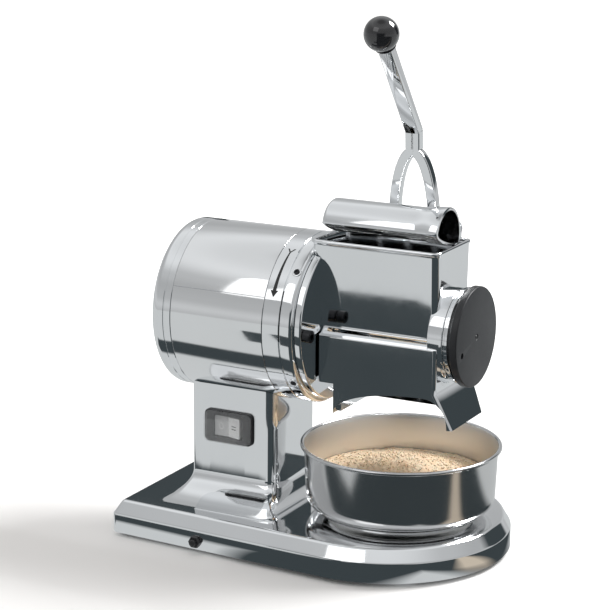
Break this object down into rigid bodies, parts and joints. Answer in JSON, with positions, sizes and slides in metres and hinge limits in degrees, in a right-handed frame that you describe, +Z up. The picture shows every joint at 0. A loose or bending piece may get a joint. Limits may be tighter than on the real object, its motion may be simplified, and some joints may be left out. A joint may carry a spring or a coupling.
{
  "type": "electric rotary cheese grater",
  "caption": "Motor-driven drum grater on a cast base: a hopper with a hinged lever presser over a grating drum, and a round bowl under the chute.",
  "frame": {"origin": "centre of the footprint, on the floor under the feet", "axes": "+X along the drum axis from the motor towards the end cover, -Y towards the user, +Z up"},
  "size_m": [0.4144, 0.2762, 0.5848],
  "materials": {
    "polished_aluminium": "mirror-polished casting",
    "stainless_steel": "spun and polished stainless steel",
    "bright_steel": "machined steel",
    "black_screws": "black oxide steel",
    "black_plastic": "satin black moulded plastic",
    "gloss_black": "glossy black phenolic ball",
    "grey_plastic": "light grey moulded plastic",
    "smoky_boot": "clear smoky splash boot",
    "rubber": "black rubber",
    "copper_windings": "varnished copper windings on a laminated core",
    "laminations": "laminated steel"
  },
  "bodies": {
    "base": {"base_casting": "polished_aluminium", "bottom_plate": "bright_steel", "cable_gland": "black_plastic", "flange_bolt_back": "black_screws", "flange_bolt_front": "black_screws", "foot_left_back": "rubber", "foot_left_front": "rubber", "foot_right_back": "rubber", "foot_right_front": "rubber", "front_bearing": "bright_steel", "head_casting": "polished_aluminium", "hinge_pin": "bright_steel", "motor_barrel": "polished_aluminium", "motor_front_ring": "polished_aluminium", "motor_rear_cap": "polished_aluminium", "rear_bearing": "bright_steel", "rear_bearing_plate": "bright_steel", "reset_collar": "black_plastic", "ring_screw_back_lower": "black_screws", "ring_screw_back_upper": "black_screws", "ring_screw_front_lower": "black_screws", "ring_screw_front_upper": "black_screws", "shaft_seal": "rubber", "start_capacitor": "grey_plastic", "stator": "copper_windings", "switch_body": "black_plastic", "switch_boot": "smoky_boot", "switch_frame": "black_plastic"},
    "rotor": {"rotor": "laminations", "motor_shaft": "bright_steel", "cooling_fan": "black_plastic", "grating_drum": "stainless_steel", "drum_drive_hub": "bright_steel", "drum_end_hub": "bright_steel"},
    "end_ring": {"end_ring": "polished_aluminium", "drum_end_bush": "bright_steel"},
    "cover": {"cover_knob": "black_plastic"},
    "rocker": {"switch_rocker": "grey_plastic"},
    "reset_button": {"reset_button": "black_plastic"},
    "presser": {"presser": "polished_aluminium", "lever_arm": "polished_aluminium", "lever_knob": "gloss_black"},
    "bowl": {"bowl": "stainless_steel"}
  },
  "joints": [
    {"name": "rotor_spin", "type": "hinge", "parent": "base", "child": "rotor", "pos_m": [0, 0, 0.248], "axis": [1, 0, 0], "continuous": true},
    {"name": "cover_pull", "type": "slide", "parent": "base", "child": "end_ring", "axis": [1, 0, 0], "range_m": [0, 0.04]},
    {"name": "cover_turn", "type": "hinge", "parent": "end_ring", "child": "cover", "pos_m": [0.16435, 0, 0.248], "axis": [1, 0, 0], "range_deg": [0, 30]},
    {"name": "rocker_tilt", "type": "hinge", "parent": "base", "child": "rocker", "pos_m": [-0.09875, -0.0463, 0.122], "axis": [0, 0, 1], "range_deg": [0, 16]},
    {"name": "reset_push", "type": "slide", "parent": "base", "child": "reset_button", "axis": [0, 1, 0], "range_m": [0, 0.003], "stiffness_N_per_m": 400},
    {"name": "presser_swing", "type": "hinge", "parent": "base", "child": "presser", "pos_m": [0.07675, 0.0472, 0.3516], "axis": [1, 0, 0], "range_deg": [-60, 50]},
    {"name": "bowl_lift", "type": "slide", "parent": "base", "child": "bowl", "axis": [0, 0, 1], "range_m": [0, 0.03]}
  ]
}
